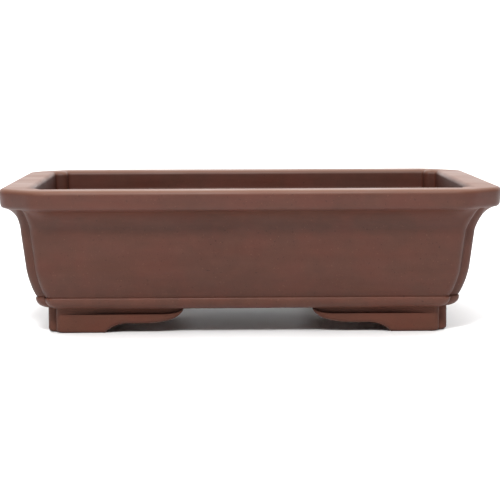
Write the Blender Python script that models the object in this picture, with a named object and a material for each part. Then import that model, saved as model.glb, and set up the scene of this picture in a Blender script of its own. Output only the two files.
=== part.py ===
"""Rectangular bonsai pot of unglazed stoneware, slab-built.

The potter cuts slabs and strips of clay and lutes them together with slip: a floor slab inside a
frame of base mouldings, four walls and four indented corner posts standing on that frame, four
mitred lip strips on top and eight mitred brackets that pair up as four scroll feet.

Origin: on the table, under the middle of the pot. +X runs along the long side, -Y is the front.
Lengths are metres. An "inset" is the distance inwards from the outer edge of the lip.
"""

import math

import bmesh
import bpy

# Driving dimensions
WIDTH = 0.360
DEPTH = 0.262
HEIGHT = 0.1052
LIP_THICKNESS = 0.0143
FOOT_HEIGHT = 0.0177
MOULDING_HEIGHT = 0.0087
JOINT_GAP = 0.0003

# Levels
MOULDING_TOP = FOOT_HEIGHT + MOULDING_HEIGHT
WALL_FOOT = MOULDING_TOP + JOINT_GAP
LIP_UNDERSIDE = HEIGHT - LIP_THICKNESS
WALL_TOP = LIP_UNDERSIDE - JOINT_GAP
BELLY_TOP = 0.0475  # where the belly of the wall turns into its straight flank
FLANK_TOP = 0.0735  # where the flank turns into the cove under the lip

# Lip
LIP_WIDTH = 0.0220
LIP_CUT = 0.0280  # leg of the 45 degree cut across each corner of the lip
LIP_CUT_SOFTENING = 0.0090
LIP_TAPER = 0.0010  # the outer face leans in towards its lower edge
LIP_OUTER_EDGE = 0.0034
LIP_INNER_EDGE = 0.0036
LIP_LOWER_EDGE = 0.0012

# Section of the walls, as (inset, height) points; each pair of pulls shapes one curve
WALL_HEEL = (0.0275, WALL_FOOT)
WALL_BELLY = (0.0211, BELLY_TOP)
WALL_FLANK = (0.0177, FLANK_TOP)
WALL_BROW = (0.0020, WALL_TOP)
BELLY_PULLS = ((0.0243, 0.0335), (0.0220, 0.0415))
COVE_PULLS = ((0.0170, 0.0814), (0.0120, 0.0886))
INNER_HEEL = (0.0366, WALL_FOOT)
INNER_BELLY = (0.0298, BELLY_TOP)
INNER_FLANK = (0.0262, FLANK_TOP)
INNER_BROW = (LIP_WIDTH, WALL_TOP)
INNER_PULLS = ((0.0332, 0.0320), (0.0308, 0.0410))

# Plan of the posts
POST_REACH = 0.0480  # how far a post runs along each side before the wall begins
NOTCH = 0.0075  # depth of the indented corner in the flank
NICK = 0.0018  # what is left of the notch where it meets the cut corner of the lip
ARRIS = 0.0056  # softening of the two edges beside the notch
ARRIS_TOP = 0.0012
BEND = 0.0005  # softening of the bend between a straight and the edge of the notch
BEND_TOP = 0.0100
CREASE = 0.0017  # softening of the hollow of the notch
INNER_NOTCH = 0.0095  # the notch seen from inside, as a rounded rib
INNER_CREASE = 0.0025
RIB_NOSE = 0.0045

# Base moulding
NOSE_INSET = 0.0270  # its most forward line
CROWN_SETBACK = 0.0010  # its top edge lies this far behind the nose
CROWN_DROP = 0.0012  # and this far above it
CHIN_RISE = 0.0040  # how far above the feet its face begins to turn under
CHIN = (0.0304, FOOT_HEIGHT + 0.0006)
HEEL_INSET = 0.0352  # where its underside meets the feet
MOULDING_INNER = 0.0430

# Floor
DRAIN_RADIUS = 0.0150
DRAIN_X = 0.0760
WIRE_HOLE_RADIUS = 0.0025
WIRE_HOLE_X = 0.0380
WIRE_HOLE_Y = 0.0520

# Feet
FOOT_INSET = 0.0354
FOOT_THICKNESS = 0.0120
FOOT_NOTCH = 0.0062
FOOT_ARRIS = 0.0044
FOOT_EDGE = 0.0012
EDGE_CHAMFER = 0.3  # share of that edge left on each side of its middle
SHADOW_LINE = 0.0048  # height of the recess along the top of a foot's face
SHADOW_DEPTH = 0.0036
SHADOW_SHOULDER = 0.7  # share of the recess where its slope turns steep
FRONT_SCROLL = 0.0979  # length of a foot along the front and back
SIDE_SCROLL = 0.0640  # and along the sides
TIP_HEIGHT = 0.0012

# Lower edge of a foot, as (share of its length, height) points
PAD_END = (0.420, 0.0)
SHOULDER = (0.590, 0.0068)
CUSP = (0.885, 0.0088)
TIP = (1.0, FOOT_HEIGHT - JOINT_GAP - TIP_HEIGHT)
SHOULDER_PULLS = ((0.475, 0.0048), (0.530, 0.0066))
CUSP_PULLS = ((0.700, 0.0064), (0.820, 0.0066))
TIP_PULLS = ((0.930, 0.0096), (0.975, 0.0122))

ROUND = math.cos(math.radians(45))  # weight that makes a softened square corner a true arc
BLUNT = math.cos(math.radians(22.5))  # the same for a 135 degree corner
SIDES = ("front", "right", "back", "left")
CORNERS = {
    "front_left": (-1, -1),
    "front_right": (1, -1),
    "back_right": (1, 1),
    "back_left": (-1, 1),
}


# ---------------------------------------------------------------- scene and materials


def clear_scene():
    for obj in list(bpy.data.objects):
        bpy.data.objects.remove(obj)


def clay(name, colour, roughness):
    material = bpy.data.materials.new(name)
    material.use_nodes = True
    shader = material.node_tree.nodes["Principled BSDF"]
    shader.inputs["Base Color"].default_value = (*colour, 1.0)
    shader.inputs["Roughness"].default_value = roughness
    shader.inputs["Metallic"].default_value = 0.0
    return material


# ---------------------------------------------------------------- curves


def cubic(start, pull_start, pull_end, end, steps):
    """Points of a cubic curve after its start, up to and with its end."""
    points = []
    for step in range(1, steps + 1):
        u = step / steps
        weights = ((1 - u) ** 3, 3 * u * (1 - u) ** 2, 3 * u * u * (1 - u), u**3)
        controls = (start, pull_start, pull_end, end)
        points.append(
            tuple(sum(w * p[axis] for w, p in zip(weights, controls)) for axis in (0, 1))
        )
    return points


def softened(before, corner, after, cut, weight, steps):
    """Points that replace a corner by a conic, starting and ending `cut` away from it."""

    def towards(target):
        length = math.dist(corner, target)
        return tuple(c + (t - c) * cut / length for c, t in zip(corner, target))

    start, end = towards(before), towards(after)
    points = []
    for step in range(steps + 1):
        u = step / steps
        shares = ((1 - u) ** 2, 2 * weight * u * (1 - u), u * u)
        points.append(
            tuple(
                sum(share * p[axis] for share, p in zip(shares, (start, corner, end))) / sum(shares)
                for axis in (0, 1)
            )
        )
    return points


def between(low, high, share):
    share = min(1.0, max(0.0, share))
    return low + (high - low) * share


# ---------------------------------------------------------------- placing and skinning


def half_length(side):
    return WIDTH / 2 if side in ("front", "back") else DEPTH / 2


def on_side(side, along, inset, height):
    """World point on one side: `along` from the middle of the side, `inset` inwards."""
    places = {
        "front": (along, -DEPTH / 2 + inset),
        "right": (WIDTH / 2 - inset, along),
        "back": (-along, DEPTH / 2 - inset),
        "left": (-WIDTH / 2 + inset, -along),
    }
    return (*places[side], height)


def at_corner(corner, from_side, from_front, height):
    """World point near one corner, measured inwards from the two edges that meet there."""
    sign_x, sign_y = CORNERS[corner]
    return (sign_x * (WIDTH / 2 - from_side), sign_y * (DEPTH / 2 - from_front), height)


def skin(name, rings, material, smooth_degrees=35.0):
    """One closed object through rings of equally many points, with a flat cap at each end."""
    body = bmesh.new()
    rows = [[body.verts.new(point) for point in ring] for ring in rings]
    count = len(rows[0])
    for row, following in zip(rows, rows[1:]):
        for i in range(count):
            j = (i + 1) % count
            body.faces.new((row[i], row[j], following[j], following[i]))
    body.faces.new(list(reversed(rows[0])))
    body.faces.new(rows[-1])
    bmesh.ops.recalc_face_normals(body, faces=body.faces)
    mesh = bpy.data.meshes.new(name)
    body.to_mesh(mesh)
    body.free()
    mesh.shade_smooth()
    mesh.set_sharp_from_angle(angle=math.radians(smooth_degrees))
    mesh.materials.append(material)
    obj = bpy.data.objects.new(name, mesh)
    bpy.context.scene.collection.objects.link(obj)
    return obj


def mitred_strip(name, side, profile, corner_path, material):
    """A strip along one side. Each (inset, height) of its profile follows its own corner path.

    corner_path gives (along from the corner, inset) from the mitre to the straight stretch.
    """
    half = half_length(side)
    paths = [corner_path(inset) for inset, _ in profile]
    rings = []
    for station in range(len(paths[0])):
        rings.append(
            [
                on_side(side, -half + path[station][0], path[station][1], height)
                for path, (_, height) in zip(paths, profile)
            ]
        )
    for station in reversed(range(len(paths[0]))):
        rings.append(
            [
                on_side(side, half - path[station][0], path[station][1], height)
                for path, (_, height) in zip(paths, profile)
            ]
        )
    return skin(name, rings, material)


# ---------------------------------------------------------------- corners


def notched_turn(inset, notch, arris):
    """Plan of one side of an indented corner, from the mitre in its hollow to the straight.

    Points are (distance from the corner along the side, inset).
    """
    hollow = (inset + notch, inset + notch)
    edge = (inset + notch, inset)
    straight = (inset + notch + 2 * arris, inset)
    mitre = (hollow[0] + JOINT_GAP, hollow[1])
    return [mitre] + softened(hollow, edge, straight, arris, ROUND, 4)


def cut_turn(inset):
    """Plan of one side of a corner cut at 45 degrees, from the mitre to the straight."""
    slant = inset * (math.sqrt(2) - 1)
    vertex = (LIP_CUT + slant, inset)
    middle = LIP_CUT / 2 + inset * math.sqrt(0.5)
    straight = (vertex[0] + 2 * LIP_CUT_SOFTENING, inset)
    turn = softened((middle, middle), vertex, straight, LIP_CUT_SOFTENING, BLUNT, 4)
    return [(middle + JOINT_GAP, middle)] + turn


def rib_turn(inset):
    """Plan of one side of the rib inside a corner, from the mitre on its nose to the straight."""
    crease = (inset + INNER_NOTCH, inset)
    nose = (inset + INNER_NOTCH, inset + INNER_NOTCH)
    reach = (crease[0] + 2 * INNER_CREASE, inset)
    back = (inset, nose[1])
    half_nose = softened(crease, nose, back, RIB_NOSE, ROUND, 2)[:2]
    on_nose = half_nose[1]
    turn = softened(nose, crease, reach, INNER_CREASE, ROUND, 3)
    return [(on_nose[0] + JOINT_GAP, on_nose[1]), half_nose[0]] + turn


# ---------------------------------------------------------------- lip


def lip_profile():
    """Section of a lip strip, as (inset, height), once round."""
    low, high, wide = LIP_UNDERSIDE, HEIGHT, LIP_WIDTH
    outer_top = softened((0.0, low), (0.0, high), (wide, high), LIP_OUTER_EDGE, ROUND, 3)
    inner_top = softened((0.0, high), (wide, high), (wide, low), LIP_INNER_EDGE, ROUND, 3)
    taper = (LIP_TAPER, low)
    outer_low = softened((wide, low), taper, (0.0, high), LIP_LOWER_EDGE, ROUND, 2)
    return outer_top + inner_top + [(wide, low)] + outer_low


def lip_corner_path(inset):
    """The outer edge turns on a 45 degree cut; the opening turns round the inner rib."""
    return cut_turn(inset) if inset < LIP_WIDTH / 2 else rib_turn(inset)


# ---------------------------------------------------------------- walls and posts


def outer_wall_line():
    """Outer face of a wall, bottom to top, as (inset, height)."""
    belly = cubic(WALL_HEEL, *BELLY_PULLS, WALL_BELLY, 6)
    cove = cubic(WALL_FLANK, *COVE_PULLS, WALL_BROW, 7)
    return [WALL_HEEL] + belly + [WALL_FLANK] + cove


def inner_wall_line():
    """Inner face of a wall, bottom to top, as (inset, height)."""
    belly = cubic(INNER_HEEL, *INNER_PULLS, INNER_BELLY, 4)
    return [INNER_HEEL] + belly + [INNER_FLANK, INNER_BROW]


def make_wall(side, material):
    half = half_length(side) - POST_REACH - JOINT_GAP
    section = outer_wall_line() + list(reversed(inner_wall_line()))
    rings = [
        [on_side(side, along, inset, height) for inset, height in section]
        for along in (-half, half)
    ]
    return skin("wall_" + side, rings, material)


def mirrored(half_path):
    """A path up to the diagonal of a corner, then back along the other side."""
    return half_path + [(b, a) for a, b in reversed(half_path[:-1])]


def outer_corner_path(inset, height):
    """Plan of a post's outer face: a square notch, which closes towards the cut of the lip."""
    tuck = between(0.0, 1.0, (height - FLANK_TOP) / (WALL_TOP - FLANK_TOP)) ** 3
    middle = LIP_CUT / 2 + inset * math.sqrt(0.5)
    reach = (POST_REACH, inset)
    deep = between(inset + NOTCH, middle + NICK, tuck)
    shallow = between(inset, middle - NICK, tuck)
    straight_from = inset + NOTCH + ARRIS + 2 * BEND
    bend = (max(straight_from, LIP_CUT + inset * (math.sqrt(2) - 1)), inset)
    edge, hollow, back = (deep, shallow), (deep, deep), (shallow, deep)
    path = [reach]
    path += softened(reach, bend, edge, between(BEND, BEND_TOP, tuck), BLUNT, 3)
    path += softened(bend, edge, hollow, between(ARRIS, ARRIS_TOP, tuck), ROUND, 4)
    path += softened(edge, hollow, back, CREASE, ROUND, 2)[:2]
    return mirrored(path)


def inner_corner_path(inset, _height):
    """Plan of a post's inner face: the notch stands into the pot as a rounded rib."""
    reach = (POST_REACH, inset)
    crease = (inset + INNER_NOTCH, inset)
    nose = (inset + INNER_NOTCH, inset + INNER_NOTCH)
    back = (inset, inset + INNER_NOTCH)
    path = [reach]
    path += softened(reach, crease, nose, INNER_CREASE, ROUND, 5)
    path += softened(crease, nose, back, RIB_NOSE, ROUND, 8)[:5]
    return mirrored(path)


def make_post(corner, material):
    outer, inner = outer_wall_line(), list(reversed(inner_wall_line()))
    paths = [outer_corner_path(*point) for point in outer]
    paths += [inner_corner_path(*point) for point in inner]
    heights = [height for _, height in outer + inner]
    rings = [
        [at_corner(corner, *path[station], height) for path, height in zip(paths, heights)]
        for station in range(len(paths[0]))
    ]
    return skin("corner_post_" + corner, rings, material)


# ---------------------------------------------------------------- base moulding and floor


def moulding_profile():
    """Section of a base moulding strip: a rounded nose over a curved underside."""
    top = (NOSE_INSET + CROWN_SETBACK, MOULDING_TOP)
    brow = (NOSE_INSET + CROWN_SETBACK / 2, MOULDING_TOP)
    crown = (NOSE_INSET, MOULDING_TOP - CROWN_DROP)
    face = (NOSE_INSET, MOULDING_TOP - CROWN_DROP / 2)
    turn = (NOSE_INSET, FOOT_HEIGHT + CHIN_RISE)
    heel = (HEEL_INSET, FOOT_HEIGHT)
    line = [top] + cubic(top, brow, face, crown, 2) + cubic(crown, turn, CHIN, heel, 5)
    return line + [(MOULDING_INNER, FOOT_HEIGHT), (MOULDING_INNER, MOULDING_TOP)]


def moulding_corner_path(inset):
    return notched_turn(inset, NOTCH, ARRIS)


def cut_hole(obj, name, x, y, radius, sides):
    """A round hole through the floor, cut by a hidden drill."""
    mesh = bpy.data.meshes.new(name)
    drill = bmesh.new()
    bmesh.ops.create_cone(
        drill,
        cap_ends=True,
        segments=sides,
        radius1=radius,
        radius2=radius,
        depth=3 * MOULDING_HEIGHT,
    )
    drill.to_mesh(mesh)
    drill.free()
    cutter = bpy.data.objects.new(name, mesh)
    cutter.location = (x, y, (FOOT_HEIGHT + MOULDING_TOP) / 2)
    cutter.hide_render = True
    cutter.display_type = "WIRE"
    bpy.context.scene.collection.objects.link(cutter)
    cut = obj.modifiers.new(name, "BOOLEAN")
    cut.operation = "DIFFERENCE"
    cut.object = cutter


def floor_outline():
    """Plan of the floor: a rectangle with the same indented corners as the moulding."""
    inset = MOULDING_INNER + JOINT_GAP
    turn = [(inset + NOTCH, inset + NOTCH)] + notched_turn(inset, NOTCH, ARRIS)[1:]
    outline = []
    for side in SIDES:
        half = half_length(side)
        start = [on_side(side, -half + along, across, 0.0) for along, across in turn]
        end = [on_side(side, half - along, across, 0.0) for along, across in turn[1:]]
        outline += start + list(reversed(end))
    return outline


def make_floor(material):
    outline = floor_outline()
    rings = [[(x, y, level) for x, y, _ in outline] for level in (FOOT_HEIGHT, MOULDING_TOP)]
    floor = skin("floor_slab", rings, material)
    for sign_x in (-1, 1):
        cut_hole(floor, f"drain_drill_{sign_x}", sign_x * DRAIN_X, 0.0, DRAIN_RADIUS, 32)
        for sign_y in (-1, 1):
            name = f"wire_drill_{sign_x}_{sign_y}"
            x, y = sign_x * WIRE_HOLE_X, sign_y * WIRE_HOLE_Y
            cut_hole(floor, name, x, y, WIRE_HOLE_RADIUS, 16)
    return floor


# ---------------------------------------------------------------- feet


def scroll_line(length):
    """Lower edge of a foot bracket as (distance from the corner, height), from pad to tip."""
    line = [PAD_END]
    line += cubic(PAD_END, *SHOULDER_PULLS, SHOULDER, 5)
    line += cubic(SHOULDER, *CUSP_PULLS, CUSP, 4)
    line += cubic(CUSP, *TIP_PULLS, TIP, 4)
    return [(FOOT_INSET + share * length, height) for share, height in line]


def foot_section(low, recess):
    """Section of a bracket whose lower edge is at `low`, as (inset, height), once round."""
    top = FOOT_HEIGHT - JOINT_GAP
    edge = min(FOOT_EDGE, (top - low) / 4)
    shadow = min(SHADOW_LINE, (top - low) / 2)
    inner = FOOT_INSET + FOOT_THICKNESS
    return [
        (FOOT_INSET + recess, top),
        (FOOT_INSET + SHADOW_SHOULDER * recess, top - SHADOW_SHOULDER * shadow),
        (FOOT_INSET, top - shadow),
        (FOOT_INSET, low + edge),
        (FOOT_INSET + EDGE_CHAMFER * edge, low + EDGE_CHAMFER * edge),
        (FOOT_INSET + edge, low),
        (inner, low),
        (inner, top),
    ]


def bracket_end(side, corner):
    """-1 where the corner is at the start of the side, +1 where it is at the end."""
    return -1 if list(CORNERS)[SIDES.index(side)] == corner else 1


def make_bracket(corner, side, length, material):
    """One half of a foot, along `side`, mitred at `corner`."""
    end, half = bracket_end(side, corner), half_length(side)

    def placed(along, across, height):
        return on_side(side, end * (half - along), across, height)

    rings = []
    section = foot_section(0.0, 0.0)
    turns = [notched_turn(inset, FOOT_NOTCH, FOOT_ARRIS) for inset, _ in section]
    for station in range(len(turns[0])):
        rings.append(
            [placed(*turn[station], height) for turn, (_, height) in zip(turns, section)]
        )
    for along, low in scroll_line(length):
        section = foot_section(low, SHADOW_DEPTH)
        rings.append([placed(along, inset, height) for inset, height in section])
    kind = "front" if side in ("front", "back") else "side"
    return skin(f"foot_{corner}_{kind}_bracket", rings, material)


# ---------------------------------------------------------------- the pot


def main():
    clear_scene()
    lip_clay = clay("lip_clay", (0.21, 0.095, 0.075), 0.50)
    wall_clay = clay("wall_clay", (0.17, 0.076, 0.060), 0.58)
    moulding_clay = clay("moulding_clay", (0.18, 0.080, 0.063), 0.58)
    floor_clay = clay("floor_clay", (0.13, 0.060, 0.048), 0.75)
    foot_clay = clay("foot_clay", (0.17, 0.073, 0.057), 0.62)

    make_floor(floor_clay)
    for side in SIDES:
        mitred_strip(
            "base_moulding_" + side, side, moulding_profile(), moulding_corner_path, moulding_clay
        )
        make_wall(side, wall_clay)
        mitred_strip("lip_" + side, side, lip_profile(), lip_corner_path, lip_clay)
    for corner in CORNERS:
        make_post(corner, wall_clay)
        end, flank = corner.split("_")
        make_bracket(corner, end, FRONT_SCROLL, foot_clay)
        make_bracket(corner, flank, SIDE_SCROLL, foot_clay)


main()
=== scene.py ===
"""Looks of the rectangular bonsai pot: burnished, unglazed brown clay under soft studio light.

Every visible piece stands for one CAD slab, strip or bracket. The pieces meet face to face, so
that the luted and burnished clay shows no seam, and what is left to see are the real creases.
An "inset" is the distance inwards from the outer edge of the lip. Lengths are metres.
"""

import math
from collections import namedtuple

import bmesh
import bpy
from mathutils import Matrix, Vector, noise


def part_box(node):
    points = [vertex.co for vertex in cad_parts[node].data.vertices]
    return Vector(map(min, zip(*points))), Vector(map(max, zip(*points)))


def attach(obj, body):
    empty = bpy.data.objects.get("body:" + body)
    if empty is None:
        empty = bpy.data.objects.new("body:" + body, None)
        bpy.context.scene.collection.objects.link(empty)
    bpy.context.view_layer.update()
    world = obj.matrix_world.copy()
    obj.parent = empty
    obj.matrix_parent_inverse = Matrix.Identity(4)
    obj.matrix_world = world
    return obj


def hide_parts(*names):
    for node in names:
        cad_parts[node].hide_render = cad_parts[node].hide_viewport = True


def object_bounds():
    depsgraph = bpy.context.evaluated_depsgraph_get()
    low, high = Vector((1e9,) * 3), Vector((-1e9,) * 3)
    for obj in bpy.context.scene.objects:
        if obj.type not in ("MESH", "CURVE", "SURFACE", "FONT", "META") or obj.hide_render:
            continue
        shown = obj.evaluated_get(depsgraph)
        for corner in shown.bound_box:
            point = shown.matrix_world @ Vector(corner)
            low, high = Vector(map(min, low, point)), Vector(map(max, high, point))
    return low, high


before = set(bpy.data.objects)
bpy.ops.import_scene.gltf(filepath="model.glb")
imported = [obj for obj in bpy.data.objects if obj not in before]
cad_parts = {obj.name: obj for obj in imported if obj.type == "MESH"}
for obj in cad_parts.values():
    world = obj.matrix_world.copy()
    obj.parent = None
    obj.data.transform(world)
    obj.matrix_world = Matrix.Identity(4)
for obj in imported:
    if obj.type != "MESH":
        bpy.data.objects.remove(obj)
cad_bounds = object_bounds()

# Sizes read from the frame
HALF_X = cad_bounds[1][0]
HALF_Y = cad_bounds[1][1]
HEIGHT = cad_bounds[1][2]
LIP_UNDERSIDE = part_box("lip_front")[0][2]
FOOT_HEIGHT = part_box("base_moulding_front")[0][2]
MOULDING_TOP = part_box("base_moulding_front")[1][2]
POST_REACH = HALF_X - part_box("wall_front")[1][0]
FOOT_INSET = HALF_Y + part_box("foot_front_left_front_bracket")[0][1]
FRONT_SCROLL = HALF_X - FOOT_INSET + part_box("foot_front_left_front_bracket")[1][0]
SIDE_SCROLL = HALF_Y - FOOT_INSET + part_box("foot_front_left_side_bracket")[1][1]

# Lip
LIP_WIDTH = 0.0220
LIP_CUT = 0.0280
LIP_CUT_SOFTENING = 0.0090
LIP_TAPER = 0.0010
LIP_OUTER_EDGE = 0.0034
LIP_INNER_EDGE = 0.0036
LIP_LOWER_EDGE = 0.0026

# Section of the walls, as (inset, height) points; each pair of pulls shapes one curve
BELLY_TOP = 0.0475  # where the belly of the wall turns into its straight flank
FLANK_TOP = 0.0735  # where the flank turns into the cove under the lip
WALL_BELLY = (0.0207, BELLY_TOP)
WALL_FLANK = (0.0177, FLANK_TOP)
WALL_BROW = (LIP_TAPER + LIP_LOWER_EDGE, LIP_UNDERSIDE)
BELLY_PULLS = ((0.0241, 0.0335), (0.0216, 0.0415))
COVE_PULLS = ((0.0170, 0.0814), (0.0120, 0.0886))
COIL = 0.0050  # the clay coil smoothed into the joint of wall and floor
INNER_TOE = (0.0416, MOULDING_TOP)
INNER_HEEL = (0.0350, MOULDING_TOP + COIL)
INNER_BELLY = (0.0298, BELLY_TOP)
INNER_FLANK = (0.0262, FLANK_TOP)
INNER_BROW = (LIP_WIDTH, LIP_UNDERSIDE)
COIL_PULLS = ((0.0385, 0.0268), (0.0360, 0.0289))
INNER_PULLS = ((0.0332, 0.0360), (0.0307, 0.0415))

# Plan of the posts
NOTCH = 0.0075  # depth of the indented corner in the flank
NICK = 0.0018  # what is left of the notch where it meets the cut corner of the lip
TUCK_POWER = 3  # how late the notch closes, on its way up the cove
ARRIS = 0.0056  # softening of the two edges beside the notch
ARRIS_TOP = 0.0012
BEND = 0.0005  # softening of the bend between a straight and the edge of the notch
BEND_TOP = 0.0100
CREASE = 0.0017
INNER_NOTCH = 0.0095
INNER_CREASE = 0.0025
RIB_NOSE = 0.0045

# Base moulding and floor
NOSE_INSET = 0.0270  # most forward line of the base moulding
GROOVE_INSET = 0.0278  # the hollow of the soft groove between belly and moulding
CROWN_DROP = 0.0009  # how far below the groove the nose begins
SHOULDER_RISE = 0.0013  # how far above the groove the belly of the wall begins
CHIN_RISE = 0.0040  # how far above the feet the nose begins to turn under
CHIN = (0.0304, FOOT_HEIGHT + 0.0006)
HEEL_INSET = 0.0352
MOULDING_INNER = 0.0430
DRAIN_RADIUS = 0.0150
DRAIN_X = 0.0760
WIRE_HOLE_RADIUS = 0.0025
WIRE_HOLE_X = 0.0380
WIRE_HOLE_Y = 0.0520
DRILL_LENGTH = 0.0300
HOLE_EDGE = 0.0012
HOLE_MARGIN = 0.0600  # no hole lies nearer than this to the outer size of the pot
HOLE_EDGE_ANGLE = math.radians(60)  # a rim of a hole is sharper than this,
LEVEL = 1e-6  # and its two ends differ by less than this in height

# Feet
FOOT_THICKNESS = 0.0120
FOOT_NOTCH = 0.0062
FOOT_ARRIS = 0.0044
FOOT_EDGE = 0.0028
SHADOW_LINE = 0.0048  # height of the recess along the top of a foot's face
SHADOW_DEPTH = 0.0036
SHADOW_SHARE = 0.86  # how much of its height is hollow; the rest is its rounded lower edge
TIP_HEIGHT = 0.0012

# Lower edge of a foot, as (share of its length, height) points
PAD_END = (0.420, 0.0)
SHOULDER = (0.590, 0.0068)
CUSP = (0.885, 0.0088)
TIP = (1.0, FOOT_HEIGHT - TIP_HEIGHT)
SHOULDER_PULLS = ((0.475, 0.0048), (0.530, 0.0066))
CUSP_PULLS = ((0.700, 0.0064), (0.820, 0.0066))
TIP_PULLS = ((0.930, 0.0096), (0.975, 0.0122))

# Handmade unevenness
WAVE_LENGTH = 0.110
WAVE_SIDE = 0.0005  # the most by which a long side lies inside its true place
WAVE_TOP = 0.0002
WAVE_SHIFT = (7.3, 1.9, 4.1)  # the waves of the top come from another part of the noise
WAVE_START = 0.0300  # no surface waves below this height
WAVE_FULL = 0.0450
LEAN = 0.0020  # how far the body sits to the left of its lip
LEAN_END = 0.0740  # the cove takes up the lean above this height

# Colours of the clays
LIP_COLOUR = (0.068, 0.0210, 0.0128)
# Painted sheen: a paler colour painted on the flat top of the lip
PAINTED_SHEEN_COLOUR = (0.138, 0.0570, 0.0310, 1.0)
WALL_COLOUR = (0.068, 0.0226, 0.0140)
# Painted light: the moulding and the feet are the walls' clay, painted lighter so that they come
# out as bright as the flank
MOULDING_PAINTED_LIGHT_COLOUR = (0.088, 0.0315, 0.0200)
SLAB_COLOUR = (0.108, 0.0395, 0.0245)
FOOT_PAINTED_LIGHT_COLOUR = (0.089, 0.0300, 0.0180)

# The top of the lip is painted paler between these heights: a painted sheen for the light that its
# flat top catches
PAINTED_SHEEN_FROM = HEIGHT - 0.0010
PAINTED_SHEEN_FULL = HEIGHT - 0.0003

# Clouds of the clay's own colour. A tint is (brightness, redness) against that colour
CLOUD_SCALE = 14.0
CLOUD_LEVELS = (0.35, 0.65)
CLOUD_SHADE = (0.88, 1.00)
CLOUD_LIGHT = (1.10, 1.02)

# Layers over the clouds. A layer covers what is below it by a share that goes from the first
# of its shares to the second, as its noise goes from the first of its levels to the second
Layer = namedtuple("Layer", "scale detail stretch levels shares tint")
EVEN = (1.0, 1.0, 1.0)
LAYERS = {
    "brown blotches": Layer(48.0, 3.0, EVEN, (0.38, 0.58), (0.50, 0.00), (0.98, 0.90)),
    "red blotches": Layer(48.0, 3.0, EVEN, (0.46, 0.68), (0.00, 0.60), (0.98, 1.16)),
    "mottling": Layer(130.0, 4.0, EVEN, (0.45, 0.75), (0.00, 0.35), (1.30, 0.97)),
    "streaks": Layer(60.0, 3.0, (0.25, 0.25, 3.00), (0.40, 0.70), (0.00, 0.30), (0.80, 1.00)),
    "pale grog": Layer(900.0, 1.0, EVEN, (0.72, 0.78), (0.00, 0.60), (2.60, 0.85)),
    "dark grog": Layer(700.0, 1.0, (1.0, 1.1, 0.9), (0.24, 0.30), (0.65, 0.00), (0.42, 1.00)),
}

# Surface of the clay: uneven roughness, long burnishing strokes and a fine grain
DETAIL = 3.0
GLOSS_SCALE = 45.0
GLOSS_STRETCH = (0.4, 0.4, 1.6)
GLOSS_LEVELS = (0.30, 0.70)
SMOOTHER = 0.06
ROUGHER = 0.08
STROKE_SCALE = 55.0
STROKE_STRETCH = (0.3, 0.3, 1.5)
STROKE_DEPTH = 0.0003
GRAIN_SCALE = 1500.0

# Light. The ceiling and the backdrop come up between two heights and two depths of the dome
DOME_STRENGTH = 2.4
BACKDROP_LIGHT = 0.80  # shares of the dome's strength: behind the pot,
CEILING_LIGHT = 1.30  # overhead,
ROOM_LIGHT = 0.05  # and all round
BACKDROP_LEVELS = (0.30, 0.90)
CEILING_LEVELS = (0.45, 1.00)
KEY_PLACE = (-0.24, -1.50, 1.62)
KEY_AIM = (0.0, 0.0, 0.06)
KEY_SIZE = (0.35, 0.35)
KEY_POWER = 39.0

FLOOR_REACH = 6.0
FLOOR_WHITE = 0.86
FLOOR_ROUGHNESS = 0.34
FLOOR_GLOSS = 0.05

# Camera
CAMERA_PLACE = (-0.0218, -1.3000, 0.1873)
CAMERA_AZIMUTH = math.radians(-1.013)
CAMERA_PITCH = math.radians(6.045)
CAMERA_ROLL = math.radians(-0.19)
FOCAL_LENGTH = 121.5
SENSOR_WIDTH = 36.0

STATION = 0.005  # spacing of the rings along a straight stretch
SHARP = math.radians(38)  # a skin's edge that turns more than this is shaded sharp,
SLAB_SHARP = math.radians(30)  # and so is the floor slab's
ROUND = math.cos(math.radians(45))  # weight of a conic that rounds a square corner,
BLUNT = math.cos(math.radians(22.5))  # and one of 135 degrees
SIDES = ("front", "right", "back", "left")
CORNERS = {
    "front_left": (-1, -1),
    "front_right": (1, -1),
    "back_right": (1, 1),
    "back_left": (-1, 1),
}


# ---------------------------------------------------------------- curves


def cubic(start, pull_start, pull_end, end, steps):
    """Points of a cubic curve after its start, up to and with its end."""
    points = []
    for step in range(1, steps + 1):
        u = step / steps
        weights = ((1 - u) ** 3, 3 * u * (1 - u) ** 2, 3 * u * u * (1 - u), u**3)
        controls = (start, pull_start, pull_end, end)
        points.append(
            tuple(sum(w * p[axis] for w, p in zip(weights, controls)) for axis in (0, 1))
        )
    return points


def softened(before, corner, after, cut, weight, steps):
    """Points that replace a corner by a conic, starting and ending `cut` away from it."""

    def towards(target):
        length = math.dist(corner, target)
        return tuple(c + (t - c) * cut / length for c, t in zip(corner, target))

    start, end = towards(before), towards(after)
    points = []
    for step in range(steps + 1):
        u = step / steps
        shares = ((1 - u) ** 2, 2 * weight * u * (1 - u), u * u)
        points.append(
            tuple(
                sum(share * p[axis] for share, p in zip(shares, (start, corner, end))) / sum(shares)
                for axis in (0, 1)
            )
        )
    return points


def line(start, end, steps):
    """Points of a straight line after its start, up to and with its end."""
    return [
        tuple(a + (b - a) * step / steps for a, b in zip(start, end))
        for step in range(1, steps + 1)
    ]


def first_half(points):
    """The points up to and with the middle one."""
    return points[: len(points) // 2 + 1]


def between(low, high, share):
    """A value between two others, which it never passes."""
    share = min(1.0, max(0.0, share))
    return low + (high - low) * share


# ---------------------------------------------------------------- placing and skinning


def half_length(side):
    return HALF_X if side in ("front", "back") else HALF_Y


def on_side(side, along, inset, height):
    """World point on one side: `along` from the middle of the side, `inset` inwards."""
    places = {
        "front": (along, -HALF_Y + inset),
        "right": (HALF_X - inset, along),
        "back": (-along, HALF_Y - inset),
        "left": (-HALF_X + inset, -along),
    }
    return (*places[side], height)


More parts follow.
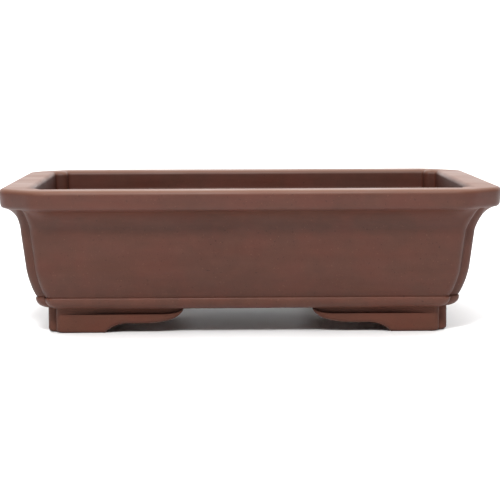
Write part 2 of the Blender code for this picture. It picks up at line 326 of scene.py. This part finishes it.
def at_corner(corner, from_side, from_front, height):
    """World point near one corner, measured inwards from the two edges that meet there."""
    sign_x, sign_y = CORNERS[corner]
    return (sign_x * (HALF_X - from_side), sign_y * (HALF_Y - from_front), height)


def uneven(point):
    """Where a handmade surface really lies: never outside the true size of the pot."""
    x, y, z = point
    amount = between(0.0, 1.0, (z - WAVE_START) / (WAVE_FULL - WAVE_START))
    place = Vector(point) / WAVE_LENGTH
    side_wave = 0.5 + 0.5 * noise.noise(place)
    top_wave = 0.5 + 0.5 * noise.noise(place + Vector(WAVE_SHIFT))
    shrink = 1 - amount * side_wave * WAVE_SIDE / HALF_Y
    lean = LEAN * between(0.0, 1.0, (LIP_UNDERSIDE - z) / (LIP_UNDERSIDE - LEAN_END))
    return (x * shrink - lean, y * shrink, z - amount * top_wave * WAVE_TOP * z / HEIGHT)


def stretched(first, last, length):
    """Rings spaced evenly between two rings, without the two themselves."""
    count = max(1, round(length / STATION))
    return [
        [Vector(a).lerp(Vector(b), step / count) for a, b in zip(first, last)]
        for step in range(1, count)
    ]


def skin(name, rings):
    """One closed object through rings of equally many points, with a flat cap at each end."""
    body = bmesh.new()
    rows = [[body.verts.new(uneven(point)) for point in ring] for ring in rings]
    count = len(rows[0])
    for row, following in zip(rows, rows[1:]):
        for i in range(count):
            j = (i + 1) % count
            body.faces.new((row[i], row[j], following[j], following[i]))
    body.faces.new(list(reversed(rows[0])))
    body.faces.new(rows[-1])
    bmesh.ops.recalc_face_normals(body, faces=body.faces)
    mesh = bpy.data.meshes.new(name)
    body.to_mesh(mesh)
    body.free()
    mesh.shade_smooth()
    mesh.set_sharp_from_angle(angle=SHARP)
    obj = bpy.data.objects.new(name, mesh)
    bpy.context.scene.collection.objects.link(obj)
    return obj


def mitred_strip(name, side, profile, corner_path):
    """A strip along one side, whose profile points each follow their own corner path."""
    half = half_length(side)
    paths = [corner_path(inset) for inset, _ in profile]
    ends = {}
    for end in (-1, 1):
        ends[end] = [
            [
                on_side(side, end * (half - path[station][0]), path[station][1], height)
                for path, (_, height) in zip(paths, profile)
            ]
            for station in range(len(paths[0]))
        ]
    middle = stretched(ends[-1][-1], ends[1][-1], 2 * half)
    return skin(name, ends[-1] + middle + list(reversed(ends[1])))


# ---------------------------------------------------------------- corners


def notched_turn(inset, notch, arris):
    """Plan of one side of an indented corner, from its hollow to the straight."""
    hollow = (inset + notch, inset + notch)
    edge = (inset + notch, inset)
    straight = (inset + notch + 2 * arris, inset)
    return [hollow] + softened(hollow, edge, straight, arris, ROUND, steps=10)


def cut_turn(inset):
    """Plan of one side of a corner cut at 45 degrees, from its middle to the straight.

    It has as many points as rib_turn, so that the top of the lip can go from one to the other.
    """
    slant = inset * (math.sqrt(2) - 1)
    vertex = (LIP_CUT + slant, inset)
    middle = LIP_CUT / 2 + inset * math.sqrt(0.5)
    straight = (vertex[0] + 2 * LIP_CUT_SOFTENING, inset)
    turn = softened((middle, middle), vertex, straight, LIP_CUT_SOFTENING, BLUNT, steps=10)
    return [(middle, middle)] + line((middle, middle), turn[0], steps=4)[:-1] + turn


def rib_turn(inset):
    """Plan of one side of the rib inside a corner, from its nose to the straight."""
    crease = (inset + INNER_NOTCH, inset)
    nose = (inset + INNER_NOTCH, inset + INNER_NOTCH)
    reach = (crease[0] + 2 * INNER_CREASE, inset)
    back = (inset, nose[1])
    half_nose = first_half(softened(crease, nose, back, RIB_NOSE, ROUND, steps=12))
    turn = softened(nose, crease, reach, INNER_CREASE, ROUND, steps=7)
    return list(reversed(half_nose)) + turn


# ---------------------------------------------------------------- lip


def lip_profile():
    """Section of a lip strip, as (inset, height), once round."""
    outer_foot, outer_head = (0.0, LIP_UNDERSIDE), (0.0, HEIGHT)
    inner_foot, inner_head = (LIP_WIDTH, LIP_UNDERSIDE), (LIP_WIDTH, HEIGHT)
    tapered = (LIP_TAPER, LIP_UNDERSIDE)
    outer_top = softened(outer_foot, outer_head, inner_head, LIP_OUTER_EDGE, ROUND, steps=9)
    inner_top = softened(outer_head, inner_head, inner_foot, LIP_INNER_EDGE, ROUND, steps=9)
    outer_low = softened(inner_foot, tapered, outer_head, LIP_LOWER_EDGE, ROUND, steps=5)
    top = line(outer_top[-1], inner_top[0], steps=3)[:-1]
    inner = line(inner_top[-1], inner_foot, steps=2)
    outer = line(outer_low[-1], outer_top[0], steps=3)[:-1]
    return outer_top + top + inner_top + inner + outer_low + outer


def lip_corner_path(inset):
    """The outer edge turns on a 45 degree cut, the opening round the inner rib.

    Across the top of the lip the one goes over into the other.
    """
    outer, inner = LIP_TAPER + LIP_OUTER_EDGE, LIP_WIDTH - LIP_INNER_EDGE
    if inset <= outer:
        return cut_turn(inset)
    if inset >= inner:
        return rib_turn(inset)
    share = (inset - outer) / (inner - outer)
    return [
        tuple(between(a, b, share) for a, b in zip(cut_point, rib_point))
        for cut_point, rib_point in zip(cut_turn(outer), rib_turn(inner))
    ]


# ---------------------------------------------------------------- walls and posts


def outer_wall_line():
    """Outer face of a wall, bottom to top, as (inset, height)."""
    groove = (GROOVE_INSET, MOULDING_TOP)
    shoulder = (NOSE_INSET, MOULDING_TOP + SHOULDER_RISE)
    points = [groove] + cubic(groove, groove, groove, shoulder, steps=3)
    points += cubic(shoulder, *BELLY_PULLS, WALL_BELLY, steps=16)
    points += line(WALL_BELLY, WALL_FLANK, steps=5)
    return points + cubic(WALL_FLANK, *COVE_PULLS, WALL_BROW, steps=14)


def inner_wall_line():
    """Inner face of a wall, bottom to top, as (inset, height)."""
    points = [INNER_TOE] + cubic(INNER_TOE, *COIL_PULLS, INNER_HEEL, steps=6)
    points += cubic(INNER_HEEL, *INNER_PULLS, INNER_BELLY, steps=8)
    points += line(INNER_BELLY, INNER_FLANK, steps=5)
    return points + line(INNER_FLANK, INNER_BROW, steps=4)


def make_wall(side):
    half = half_length(side) - POST_REACH
    section = outer_wall_line() + list(reversed(inner_wall_line()))
    first, last = (
        [on_side(side, along, inset, height) for inset, height in section]
        for along in (-half, half)
    )
    rings = [first] + stretched(first, last, 2 * half) + [last]
    return skin("burnished_wall_" + side, rings)


def mirrored(half_path):
    """A path up to the diagonal of a corner, then back along the other side."""
    return half_path + [(b, a) for a, b in reversed(half_path[:-1])]


def reach_line(inset, turn):
    """The straight stretch of a post's plan, from the wall to where the turn begins."""
    return [(POST_REACH, inset)] + line((POST_REACH, inset), turn[0], steps=4)[:-1]


def outer_corner_path(inset, height):
    """Plan of a post's outer face: a square notch, which closes towards the cut of the lip."""
    rise = between(0.0, 1.0, (height - FLANK_TOP) / (LIP_UNDERSIDE - FLANK_TOP))
    tuck = rise**TUCK_POWER
    middle = LIP_CUT / 2 + inset * math.sqrt(0.5)
    reach = (POST_REACH, inset)
    deep = between(inset + NOTCH, middle + NICK, tuck)
    shallow = between(inset, middle - NICK, tuck)
    straight_from = inset + NOTCH + ARRIS + 2 * BEND
    bend = (max(straight_from, LIP_CUT + inset * (math.sqrt(2) - 1)), inset)
    edge, hollow, back = (deep, shallow), (deep, deep), (shallow, deep)
    turn = softened(reach, bend, edge, between(BEND, BEND_TOP, tuck), BLUNT, steps=8)
    turn += softened(bend, edge, hollow, between(ARRIS, ARRIS_TOP, tuck), ROUND, steps=10)
    turn += first_half(softened(edge, hollow, back, CREASE, ROUND, steps=6))
    return mirrored(reach_line(inset, turn) + turn)


def inner_corner_path(inset):
    """Plan of a post's inner face: the notch stands into the pot as a rounded rib."""
    reach = (POST_REACH, inset)
    crease = (inset + INNER_NOTCH, inset)
    nose = (inset + INNER_NOTCH, inset + INNER_NOTCH)
    back = (inset, inset + INNER_NOTCH)
    turn = softened(reach, crease, nose, INNER_CREASE, ROUND, steps=12)
    half_nose = first_half(softened(crease, nose, back, RIB_NOSE, ROUND, steps=20))
    return mirrored(reach_line(inset, turn) + turn + half_nose)


def make_post(corner):
    outer, inner = outer_wall_line(), list(reversed(inner_wall_line()))
    paths = [outer_corner_path(*point) for point in outer]
    paths += [inner_corner_path(inset) for inset, _ in inner]
    heights = [height for _, height in outer + inner]
    rings = [
        [at_corner(corner, *path[station], height) for path, height in zip(paths, heights)]
        for station in range(len(paths[0]))
    ]
    return skin("burnished_post_" + corner, rings)


# ---------------------------------------------------------------- base moulding and floor


def moulding_profile():
    """Section of a base moulding strip: a rounded nose over a curved underside."""
    groove = (GROOVE_INSET, MOULDING_TOP)
    crown = (NOSE_INSET, MOULDING_TOP - CROWN_DROP)
    brow = (NOSE_INSET, MOULDING_TOP - CROWN_DROP / 2)
    turn = (NOSE_INSET, FOOT_HEIGHT + CHIN_RISE)
    heel = (HEEL_INSET, FOOT_HEIGHT)
    points = [groove] + cubic(groove, groove, brow, crown, steps=5)
    points += cubic(crown, turn, CHIN, heel, steps=12)
    return points + [(MOULDING_INNER, FOOT_HEIGHT), (MOULDING_INNER, MOULDING_TOP)]


def moulding_corner_path(inset):
    return notched_turn(inset, NOTCH, ARRIS)


def floor_outline():
    """Plan of the floor: a rectangle with the same indented corners as the moulding."""
    turn = notched_turn(MOULDING_INNER, NOTCH, ARRIS)
    outline = []
    for side in SIDES:
        half = half_length(side)
        start = [on_side(side, -half + along, across, 0.0) for along, across in turn]
        end = [on_side(side, half - along, across, 0.0) for along, across in turn[1:]]
        outline += start + list(reversed(end))
    return outline


def drill(x, y, radius, sides):
    """A hidden cylinder that cuts one round hole."""
    mesh = bpy.data.meshes.new("drill")
    tool = bmesh.new()
    bmesh.ops.create_cone(
        tool, cap_ends=True, segments=sides, radius1=radius, radius2=radius, depth=DRILL_LENGTH
    )
    tool.to_mesh(mesh)
    tool.free()
    cutter = bpy.data.objects.new("drill", mesh)
    cutter.location = (x, y, (FOOT_HEIGHT + MOULDING_TOP) / 2)
    bpy.context.scene.collection.objects.link(cutter)
    return cutter


def make_floor():
    """The floor slab, with its holes cut and their edges rounded off."""
    outline = floor_outline()
    rings = [[(x, y, level) for x, y, _ in outline] for level in (FOOT_HEIGHT, MOULDING_TOP)]
    floor = skin("floor_with_drain_holes", rings)
    cutters = [drill(sign * DRAIN_X, 0.0, DRAIN_RADIUS, sides=64) for sign in (-1, 1)]
    for sign_x in (-1, 1):
        for sign_y in (-1, 1):
            x, y = sign_x * WIRE_HOLE_X, sign_y * WIRE_HOLE_Y
            cutters.append(drill(x, y, WIRE_HOLE_RADIUS, sides=24))
    for cutter in cutters:
        cut = floor.modifiers.new("hole", "BOOLEAN")
        cut.operation = "DIFFERENCE"
        cut.object = cutter
    depsgraph = bpy.context.evaluated_depsgraph_get()
    cut_mesh = bpy.data.meshes.new_from_object(floor.evaluated_get(depsgraph))
    floor.modifiers.clear()
    floor.data = cut_mesh
    for cutter in cutters:
        bpy.data.objects.remove(cutter)
    round_hole_edges(floor)
    return floor


def round_hole_edges(floor):
    """Bevels the rims of the holes, and leaves the outline of the slab sharp."""
    body = bmesh.new()
    body.from_mesh(floor.data)
    rims = []
    for edge in body.edges:
        middle = (edge.verts[0].co + edge.verts[1].co) / 2
        inside = abs(middle.x) < HALF_X - HOLE_MARGIN and abs(middle.y) < HALF_Y - HOLE_MARGIN
        flat = abs(edge.verts[0].co.z - edge.verts[1].co.z) < LEVEL
        if inside and flat and edge.calc_face_angle(0.0) > HOLE_EDGE_ANGLE:
            rims.append(edge)
    bmesh.ops.bevel(
        body, geom=rims, offset=HOLE_EDGE, segments=4, profile=0.5, affect="EDGES"
    )
    body.to_mesh(floor.data)
    body.free()
    floor.data.shade_smooth()
    floor.data.set_sharp_from_angle(angle=SLAB_SHARP)


# ---------------------------------------------------------------- feet


def scroll_line(length):
    """Lower edge of a foot bracket as (distance from the corner, height), from pad to tip."""
    points = [PAD_END]
    points += cubic(PAD_END, *SHOULDER_PULLS, SHOULDER, steps=14)
    points += cubic(SHOULDER, *CUSP_PULLS, CUSP, steps=10)
    points += cubic(CUSP, *TIP_PULLS, TIP, steps=12)
    return [(FOOT_INSET + share * length, height) for share, height in points]


def foot_section(low, recess):
    """Section of a bracket whose lower edge is at `low`, as (inset, height), once round.

    Where little height is left, the edge and the shadow line share it.
    """
    top = FOOT_HEIGHT
    edge = min(FOOT_EDGE, (top - low) / 3)
    shadow = min(SHADOW_LINE, (top - low) / 2)
    inner = FOOT_INSET + FOOT_THICKNESS
    face_top = (FOOT_INSET, top - shadow)
    face_low = (FOOT_INSET, low)
    hidden = (FOOT_INSET + recess, top)
    ledge = (FOOT_INSET + recess, top - SHADOW_SHARE * shadow)
    rounding = (FOOT_INSET, ledge[1])
    points = [hidden] + line(hidden, ledge, steps=3)
    points += cubic(ledge, rounding, rounding, face_top, steps=6)
    points += line(face_top, (FOOT_INSET, low + edge), steps=3)[:-1]
    points += softened(face_top, face_low, (inner, low), edge, ROUND, steps=8)
    points += softened(face_low, (inner, low), (inner, top), edge / 2, ROUND, steps=5)
    return points + [(inner, top)]


def bracket_end(side, corner):
    """-1 where the corner is at the start of the side, +1 where it is at the end."""
    return -1 if list(CORNERS)[SIDES.index(side)] == corner else 1


def make_bracket(corner, side, length):
    """One half of a foot, along `side`, mitred at `corner`."""
    end, half = bracket_end(side, corner), half_length(side)

    def placed(along, across, height):
        return on_side(side, end * (half - along), across, height)

    section = foot_section(low=0.0, recess=0.0)
    turns = [notched_turn(inset, FOOT_NOTCH, FOOT_ARRIS) for inset, _ in section]
    corner_rings = [
        [placed(*turn[station], height) for turn, (_, height) in zip(turns, section)]
        for station in range(len(turns[0]))
    ]
    edge = scroll_line(length)
    scroll = [
        [placed(along, inset, height) for inset, height in foot_section(low, SHADOW_DEPTH)]
        for along, low in edge
    ]
    straight = stretched(corner_rings[-1], scroll[0], edge[0][0] - POST_REACH)
    kind = "front" if side in ("front", "back") else "side"
    return skin(f"scroll_foot_{corner}_{kind}", corner_rings + straight + scroll)


# ---------------------------------------------------------------- clay


def add(tree, kind, **settings):
    node = tree.nodes.new(kind)
    for name, value in settings.items():
        setattr(node, name, value)
    return node


def grey(value):
    return (value, value, value, 1.0)


def noise_at(tree, place, scale, detail=DETAIL, stretch=EVEN):
    """Noise of one grain size, at a place in the pot's own frame."""
    mapping = add(tree, "ShaderNodeMapping")
    mapping.inputs["Scale"].default_value = stretch
    tree.links.new(place, mapping.inputs["Vector"])
    texture = add(tree, "ShaderNodeTexNoise")
    texture.inputs["Scale"].default_value = scale
    texture.inputs["Detail"].default_value = detail
    tree.links.new(mapping.outputs[0], texture.inputs["Vector"])
    return texture.outputs["Fac"]


def ramp(tree, value, levels, colours=(grey(0.0), grey(1.0))):
    """A ramp that goes from one colour to another between two levels of a value."""
    node = add(tree, "ShaderNodeValToRGB")
    for stop, level, colour in zip(node.color_ramp.elements, levels, colours):
        stop.position = level
        stop.color = colour
    tree.links.new(value, node.inputs["Fac"])
    return node.outputs["Color"]


def mixed(tree, factor, base, other, blend="MIX"):
    """Mix of two colours, by a factor; each of the three is a value or a socket."""
    node = add(tree, "ShaderNodeMix", data_type="RGBA", blend_type=blend)
    factor_input = node.inputs["Factor"]
    first, second = (socket for socket in node.inputs if socket.type == "RGBA")
    for socket, value in ((factor_input, factor), (first, base), (second, other)):
        if isinstance(value, (tuple, float)):
            socket.default_value = value
        else:
            tree.links.new(value, socket)
    return next(socket for socket in node.outputs if socket.type == "RGBA")


def clay(name, colour, roughness, grain, gloss=0.20, painted_sheen=None):
    """Unglazed clay: mottled colour, pale and dark grog, burnishing streaks and a fine grain.

    A paler colour goes on the very top of the pot, as a painted sheen where the flat top of the lip
    catches the light.
    """
    material = bpy.data.materials.new(name)
    material.use_nodes = True
    tree = material.node_tree
    shader = tree.nodes["Principled BSDF"]
    place = add(tree, "ShaderNodeTexCoord").outputs["Object"]

    def tinted(brightness, redness):
        red, green, blue = (channel * brightness for channel in colour)
        return (red * redness, green, blue, 1.0)

    cloud = noise_at(tree, place, CLOUD_SCALE)
    base = ramp(tree, cloud, CLOUD_LEVELS, (tinted(*CLOUD_SHADE), tinted(*CLOUD_LIGHT)))
    for layer in LAYERS.values():
        pattern = noise_at(tree, place, layer.scale, layer.detail, layer.stretch)
        share = ramp(tree, pattern, layer.levels, [grey(share) for share in layer.shares])
        base = mixed(tree, share, base, tinted(*layer.tint))
    # Painted sheen: the flat top of the lip is painted paler
    if painted_sheen is not None:
        height = add(tree, "ShaderNodeSeparateXYZ")
        tree.links.new(place, height.inputs[0])
        on_top = ramp(tree, height.outputs["Z"], (PAINTED_SHEEN_FROM, PAINTED_SHEEN_FULL))
        base = mixed(tree, on_top, base, painted_sheen)
    tree.links.new(base, shader.inputs["Base Color"])

    patches = noise_at(tree, place, GLOSS_SCALE, stretch=GLOSS_STRETCH)
    limits = (grey(roughness - SMOOTHER), grey(roughness + ROUGHER))
    tree.links.new(ramp(tree, patches, GLOSS_LEVELS, limits), shader.inputs["Roughness"])
    shader.inputs["Specular IOR Level"].default_value = gloss

    strokes = noise_at(tree, place, STROKE_SCALE, stretch=STROKE_STRETCH)
    burnished = bumped(tree, strokes, STROKE_DEPTH)
    grained = bumped(tree, noise_at(tree, place, GRAIN_SCALE), grain, burnished)
    tree.links.new(grained, shader.inputs["Normal"])
    return material


def bumped(tree, height, distance, below=None):
    """A bump, on top of another one where there is one below."""
    node = add(tree, "ShaderNodeBump")
    node.inputs["Strength"].default_value = 1.0
    node.inputs["Distance"].default_value = distance
    tree.links.new(height, node.inputs["Height"])
    if below is not None:
        tree.links.new(below, node.inputs["Normal"])
    return node.outputs["Normal"]


# ---------------------------------------------------------------- stage, light and camera


def make_stage():
    """A plain floor of smooth white board."""
    mesh = bpy.data.meshes.new("floor")
    reach = FLOOR_REACH
    mesh.from_pydata(
        [(-reach, -reach, 0), (reach, -reach, 0), (reach, reach, 0), (-reach, reach, 0)],
        [],
        [(0, 1, 2, 3)],
    )
    white = bpy.data.materials.new("white_board")
    white.use_nodes = True
    shader = white.node_tree.nodes["Principled BSDF"]
    shader.inputs["Base Color"].default_value = grey(FLOOR_WHITE)
    shader.inputs["Roughness"].default_value = FLOOR_ROUGHNESS
    shader.inputs["Specular IOR Level"].default_value = FLOOR_GLOSS
    mesh.materials.append(white)
    ground = bpy.data.objects.new("floor", mesh)
    bpy.context.scene.collection.objects.link(ground)


def make_dome():
    """The studio's own light: a dim room, a white ceiling and a white backdrop behind the pot."""
    world = bpy.data.worlds.new("studio_dome")
    world.use_nodes = True
    tree = world.node_tree
    parts = add(tree, "ShaderNodeSeparateXYZ")
    tree.links.new(add(tree, "ShaderNodeTexCoord").outputs["Generated"], parts.inputs[0])
    dark = grey(0.0)
    ceiling = ramp(tree, parts.outputs["Z"], CEILING_LEVELS, (dark, grey(CEILING_LIGHT)))
    backdrop = ramp(tree, parts.outputs["Y"], BACKDROP_LEVELS, (dark, grey(BACKDROP_LIGHT)))
    light = mixed(tree, 1.0, grey(ROOM_LIGHT), ceiling, "ADD")
    light = mixed(tree, 1.0, light, backdrop, "ADD")
    background = tree.nodes["Background"]
    tree.links.new(light, background.inputs["Color"])
    background.inputs["Strength"].default_value = DOME_STRENGTH
    bpy.context.scene.world = world


def make_light(name, place, aim, size, power):
    lamp = bpy.data.lights.new(name, "AREA")
    lamp.shape = "RECTANGLE"
    lamp.size, lamp.size_y = size
    lamp.energy = power
    obj = bpy.data.objects.new(name, lamp)
    obj.location = place
    obj.rotation_euler = (Vector(aim) - Vector(place)).to_track_quat("-Z", "Y").to_euler()
    bpy.context.scene.collection.objects.link(obj)


def make_camera():
    """A long lens a little above the lip, slightly to the left of the pot's middle."""
    lens = bpy.data.cameras.new("camera")
    lens.lens = FOCAL_LENGTH
    lens.sensor_width = SENSOR_WIDTH
    camera = bpy.data.objects.new("camera", lens)
    turn = Matrix.Rotation(CAMERA_AZIMUTH, 4, "Z")
    tilt = Matrix.Rotation(math.pi / 2 - CAMERA_PITCH, 4, "X")
    roll = Matrix.Rotation(CAMERA_ROLL, 4, "Z")
    camera.matrix_world = Matrix.Translation(CAMERA_PLACE) @ turn @ tilt @ roll
    bpy.context.scene.collection.objects.link(camera)
    bpy.context.scene.camera = camera


# ---------------------------------------------------------------- the pot


def settle(piece, node, material):
    """Gives a piece its clay, and puts it in its CAD node's place."""
    piece.data.materials.clear()
    piece.data.materials.append(material)
    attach(piece, "root")
    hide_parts(node)


def make_pot():
    # The lip's clay carries a painted sheen on its top
    lip_clay = clay(
        "lip_clay", LIP_COLOUR, roughness=0.50, grain=0.00005, gloss=0.30, painted_sheen=PAINTED_SHEEN_COLOUR
    )
    wall_clay = clay("wall_clay", WALL_COLOUR, roughness=0.52, grain=0.00006, gloss=0.25)
    # The moulding's and the feet's clay is the walls' clay painted lighter, as painted light
    moulding_clay = clay(
        "moulding_clay", MOULDING_PAINTED_LIGHT_COLOUR, roughness=0.50, grain=0.00006, gloss=0.25
    )
    floor_clay = clay("floor_clay", SLAB_COLOUR, roughness=0.70, grain=0.00012)
    foot_clay = clay("foot_clay", FOOT_PAINTED_LIGHT_COLOUR, roughness=0.55, grain=0.00007)

    settle(make_floor(), "floor_slab", floor_clay)
    for side in SIDES:
        strip = mitred_strip(
            "base_bead_" + side, side, moulding_profile(), moulding_corner_path
        )
        settle(strip, "base_moulding_" + side, moulding_clay)
        settle(make_wall(side), "wall_" + side, wall_clay)
        rim = mitred_strip("rounded_lip_" + side, side, lip_profile(), lip_corner_path)
        settle(rim, "lip_" + side, lip_clay)
    for corner in CORNERS:
        settle(make_post(corner), "corner_post_" + corner, wall_clay)
        end, flank = corner.split("_")
        front = make_bracket(corner, end, FRONT_SCROLL)
        settle(front, f"foot_{corner}_front_bracket", foot_clay)
        side = make_bracket(corner, flank, SIDE_SCROLL)
        settle(side, f"foot_{corner}_side_bracket", foot_clay)


bpy.context.scene.view_settings.view_transform = "Standard"
make_camera()
make_stage()
make_dome()
make_light("key_softbox", KEY_PLACE, KEY_AIM, KEY_SIZE, KEY_POWER)
make_pot()
